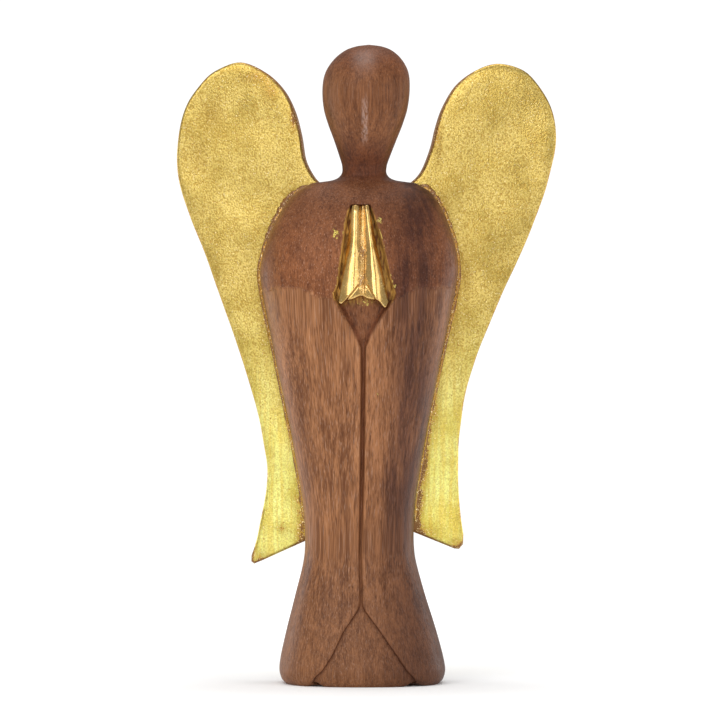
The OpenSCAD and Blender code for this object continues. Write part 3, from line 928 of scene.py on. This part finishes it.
def build_wing(name, side, outline, foot, node):
    shape = curve_through(outline, 7) + [Vector(p) for p in foot]
    board = bmesh.new()
    corners = []
    for p in shape:
        wobble = bumps((p.x, side * 9, p.y), 0.11) * 0.25 * smooth_step(p.x, 8, 14)
        corners.append(board.verts.new((side * (p.x + wobble) * MM, 0, (p.y + wobble) * MM)))
    face = board.faces.new(corners)
    grown = bmesh.ops.extrude_face_region(board, geom=[face])["geom"]
    back = [g for g in grown if isinstance(g, bmesh.types.BMVert)]
    bmesh.ops.translate(board, verts=back, vec=(0, WING_T, 0))
    bmesh.ops.recalc_face_normals(board, faces=board.faces)
    rim_points = [Vector((abs(v.co.x), v.co.z)) for v in corners if abs(v.co.x) > NEAR_SPINE]
    rims = [e for e in board.edges if abs(e.verts[0].co.y - e.verts[1].co.y) < WELD
            and max(abs(v.co.x) for v in e.verts) > NEAR_SPINE]
    bmesh.ops.bevel(board, geom=rims, affect="EDGES", offset=ARRIS, segments=4, profile=0.5, material=-1,
                    clamp_overlap=False)
    # a fine grid of cuts gives the flat faces points to carry the wear and the lumps
    cuts = [(Vector((side * x * MM, 0, 0)), Vector((1, 0, 0))) for x in frange(1, 60, GRID)]
    cuts += [(Vector((0, 0, z * MM)), Vector((0, 0, 1))) for z in frange(40, 193, GRID)]
    for place, normal in cuts:
        everything = board.verts[:] + board.edges[:] + board.faces[:]
        bmesh.ops.bisect_plane(board, geom=everything, plane_co=place, plane_no=normal, dist=WELD)
    rubbed = board.verts.layers.float.new("rubbed")
    for v in board.verts:
        x, z = v.co.x, v.co.z
        inset = min((Vector((abs(x), z)) - rim).length for rim in rim_points)
        v[rubbed] = wear_at(v, side, inset)
        lump = bumps((x, side, z), 75) * 0.35 * MM
        if v.co.y < WING_T / 2:
            soft = (0.15 + (0.32 * rise(z, 176, 188) if side > 0 else 0.0)) * MM
            v.co.y += lump + soft * max(0.0, 1 - inset / (3.4 * MM)) ** 2
        else:
            v.co.y += lump * 0.5
    # the board is swept back and mitred on the middle plane, where it meets the other one
    spine = Matrix.Rotation(side * WING_SWEEP, 3, "Z")
    bmesh.ops.rotate(board, verts=board.verts, cent=(0, 0, 0), matrix=spine)
    bmesh.ops.translate(board, verts=board.verts, vec=(0, SEAT_Y, 0))
    everything = board.verts[:] + board.edges[:] + board.faces[:]
    cut = bmesh.ops.bisect_plane(board, geom=everything, plane_co=(0, 0, 0), plane_no=(-side, 0, 0),
                                 dist=WELD, clear_outer=True)["geom_cut"]
    bmesh.ops.holes_fill(board, edges=[g for g in cut if isinstance(g, bmesh.types.BMEdge)])
    wing = piece_from(board, name, wing_gilding)
    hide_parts(node)
    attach(wing, "root")


build_wing("gilded_left_wing", -1, LEFT_OUTLINE, LEFT_FOOT, "left_wing")
build_wing("gilded_right_wing", 1, RIGHT_OUTLINE, RIGHT_FOOT, "right_wing")

# -------------------------------------------------------- filling at the seams
# A bead of gesso fills the angle between each wing and the block. It is lumpy
# at the shoulders, thins out towards the foot, and is gilded with the wing.
BEAD_FOOT = 50 * MM
BEAD_TOP = 156.3 * MM
BEAD_COLUMNS = 16
BEAD_RINGS = 460
seam_gilding = build_gilding("seam_gilding", wear=0.32, tint=(0.78, 0.56, 0.37, 1), polish=0.45,
                             depth=0.20 * MM)


def bead_line(side, z):
    """The middle of the bead, just outside the widest part of the block."""
    w, _, _, cx, _ = section_size(z)
    x = w + side * cx + 0.35 * MM + 0.15 * MM * rise(z, 128, 150)
    return Vector((side * x, SEAT_Y + x * math.tan(WING_SWEEP) - 0.25 * MM, z))


def build_bead(name, side):
    bead = bmesh.new()
    rubbed = bead.verts.layers.float.new("rubbed")
    out = Vector((side * math.sin(WING_SWEEP), -math.cos(WING_SWEEP), 0))
    for point, column, ring in ring_blank(bead, BEAD_COLUMNS, BEAD_RINGS):
        share = ring / BEAD_RINGS
        z = BEAD_FOOT + (BEAD_TOP - BEAD_FOOT) * share
        here = bead_line(side, z)
        run = (bead_line(side, z + 0.3 * MM) - here).normalized()
        aside = run.cross(out).normalized()
        shoulder = rise(z, 128, 150)
        lumps = 0.9 * bumps(here * 130 + Vector((0, 0, side))) + 0.8 * bumps(here, 370)
        lumps += 0.4 * bumps(here, 1300)
        radius = (0.60 + 0.15 * rise(z, 95, 120) + 0.12 * shoulder) * MM
        radius *= 1 + (0.18 + 0.50 * shoulder) * lumps
        radius *= math.sqrt(max(0.0, min(1.0, share * 30, (1 - share) * 60)))
        turn = 2 * math.pi * column / BEAD_COLUMNS
        round_it = Vector((math.cos(turn), math.sin(turn), 0))
        grit = 1 + 0.3 * shoulder * bumps(here * 900 + round_it * 2)
        point.co = here + radius * grit * (1.25 * round_it.x * aside + 0.95 * round_it.y * out)
        # the outer edge is broken and brown, the left shoulder brown and the right one speckled, partly
        # with painted glints
        broken = 0.5 + 0.9 * bumps(here * 260 + Vector((3, 0, side)))
        spread = bumps(here * 600 + round_it + Vector((0, 0, 5)))
        point[rubbed] = 0.10 + broken * 0.9 * smooth_step(round_it.x * side, 0.1, 0.8)
        point[rubbed] += shoulder * (0.30 + 0.7 * spread if side < 0 else 1.2 * spread)
    piece = piece_from(bead, name, seam_gilding)
    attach(piece, "root")


build_bead("left_seam_bead", -1)
build_bead("right_seam_bead", 1)

# ------------------------------------------------------------- praying hands
# The hands are one small carving: two smooth palms that lean together over a
# shallow valley, cut off slantwise at the heels above the wrists, gilded and
# burnished. They are pegged and glued to the floor of the pocket.

# Height, left edge, left crest, right crest, right edge, how far they stand off the floor.
HANDS = in_metres([
    (116.5, -7.5, -3.2, 4.6, 8.5, 4.6),
    (121.2, -6.9, -3.0, 4.2, 7.9, 5.0),
    (127.4, -6.0, -2.7, 3.8, 6.6, 5.0),
    (133.6, -5.1, -2.3, 3.2, 5.2, 4.7),
    (139.8, -4.1, -2.1, 2.5, 3.9, 4.3),
    (147.5, -3.2, -2.0, 1.6, 2.5, 3.6),
    (149.3, -3.0, -1.9, 1.4, 2.2, 3.2),
])
HANDS_MIDDLE = 0.15 * MM
HANDS_ACROSS = 110
HANDS_UP = 190
LEFT_SLOPE = math.radians(33)
RIGHT_SLOPE = math.radians(45)
VALLEY_SLOPE = math.radians(38)
HANDS_SUNK = 0.3 * MM
hand_gilding = build_gilding("burnished_gilding", wear=-0.05, tint=(1.10, 0.94, 0.98, 1), polish=0.75,
                             depth=0.015 * MM, grit=0.35, lemon_low=40, lemon_high=60)


def heel_line(u):
    """The lower edge of the hands, across from the left corner to the right one."""
    return (119.4 - 1.3 * hump(u, -0.9, 0.16) - 2.4 * hump(u, 0.84, 0.18) + 1.2 * hump(u, -0.1, 0.25)) * MM


def palm_height(x, z, stand):
    """How far the hands stand off the floor: two rounded ridges with a valley between them."""
    left_crest, right_crest = (straight_along(HANDS, z, k) for k in (2, 3))
    crest = left_crest if x < HANDS_MIDDLE else right_crest
    crest, here = abs(crest - HANDS_MIDDLE), abs(x - HANDS_MIDDLE)
    past = here - crest
    round_off = (0.5 + 1.1 * rise(z, 140, 126)) * MM
    if past > 0:
        slope = LEFT_SLOPE if x < HANDS_MIDDLE else RIGHT_SLOPE
        drop = math.tan(slope) * (math.hypot(past, round_off) - round_off)
    else:
        drop = math.tan(VALLEY_SLOPE) * (math.hypot(past, 0.6 * round_off) - 0.6 * round_off)
    # a fine ridge where the palms meet, and a deeper valley towards the tips
    drop -= 0.22 * MM * hump(here, 0, 0.22 * MM)
    drop += 0.2 * MM * rise(z, 140, 146) * (1 - smooth_step(here, 0, 0.7 * crest))
    height = stand - drop
    # the heels are cut back slantwise to the wrists
    aside = max(0.0, abs(x - 0.35 * MM) - 1.2 * MM)
    slant = 124.4 * MM - (1.2 if x < 0 else 1.8) * aside
    wrist = rise(slant - z, -0.1, 0.4)
    level = (0.66 - 0.16 * rise(slant - z, 0, 5)) * stand
    height += wrist * (min(level, height) - height)
    height -= 0.5 * MM * hump(z, slant, 0.3 * MM) * rise(aside, 0, 0.8)
    return height


def build_hands():
    block = bmesh.new()
    bmesh.ops.create_grid(block, x_segments=HANDS_ACROSS, y_segments=HANDS_UP, size=1)
    rubbed = block.verts.layers.float.new("rubbed")
    for v in block.verts:
        u, up = v.co.x, (v.co.y + 1) / 2
        foot = heel_line(u)
        z = foot + (HANDS[-1][0] - foot) * up
        left, right, stand = (straight_along(HANDS, z, k) for k in (1, 4, 5))
        x = left + (right - left) * (u + 1) / 2
        height = palm_height(x, z, stand)
        # the heels and the tips are rounded over
        end = min(1.0, up / 0.03, (1 - up) / 0.012)
        kept = 0.55 if up < 0.5 else 0.92
        height *= kept + (1 - kept) * math.sqrt(max(0.0, 1 - (1 - end) ** 2))
        valley = 1 - smooth_step(abs(x - HANDS_MIDDLE - 0.1 * MM), 0.7 * MM, 1.6 * MM)
        pitted = hump(z, 134.2 * MM, 2 * MM) + hump(z, 125.5 * MM, 2.2 * MM)
        lump = bumps((x, 0, z), 420) * 0.05 * MM
        lump += valley * (0.02 + 0.08 * pitted) * MM * bumps((x, 3, z), 1500)
        v.co = (x, pocket_floor(z) - height - lump, z)
        # the valley is given browner, more orange leaf: partly painted shade and painted reflection in the
        # crease, partly pits; the outer edges are rubbed
        v[rubbed] = valley * (0.46 + 0.25 * pitted) + 0.35 * hump(abs(u), 1.0, 0.05)
    rim = [e for e in block.edges if e.is_boundary]
    grown = bmesh.ops.extrude_edge_only(block, edges=rim)["geom"]
    for v in grown:
        if isinstance(v, bmesh.types.BMVert):
            v.co.y = pocket_floor(v.co.z) + HANDS_SUNK
    bmesh.ops.holes_fill(block, edges=[e for e in block.edges if e.is_boundary])
    hands = piece_from(block, "gilded_hands", hand_gilding)
    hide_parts("praying_hands")
    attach(hands, "root")


build_hands()

# -------------------------------------------------------------- dowels and peg
# Plain turned dowels of pale hardwood, two to a wing and a small peg for the
# hands. They are glued into the block, out of sight inside the joints.
material, tree, shader, point = new_material("pale_dowel_wood")
dowel_grain = add_node(tree, "ShaderNodeGroup", {"node_tree": grain_group}, point=point,
                       pale=(0.66, 0.45, 0.24, 1), deep=(0.45, 0.28, 0.13, 1), pores=0.5,
                       pore_color=(0.25, 0.14, 0.06, 1)).outputs
plug(tree, shader, base_color=dowel_grain["Color"], roughness=dowel_grain["Rough"],
     normal=relief(tree, dowel_grain["Height"], 0.03 * MM))
for name in ("left_wing_upper_dowel", "left_wing_lower_dowel", "right_wing_upper_dowel",
             "right_wing_lower_dowel", "hands_peg"):
    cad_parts[name].data.materials.clear()
    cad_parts[name].data.materials.append(material)
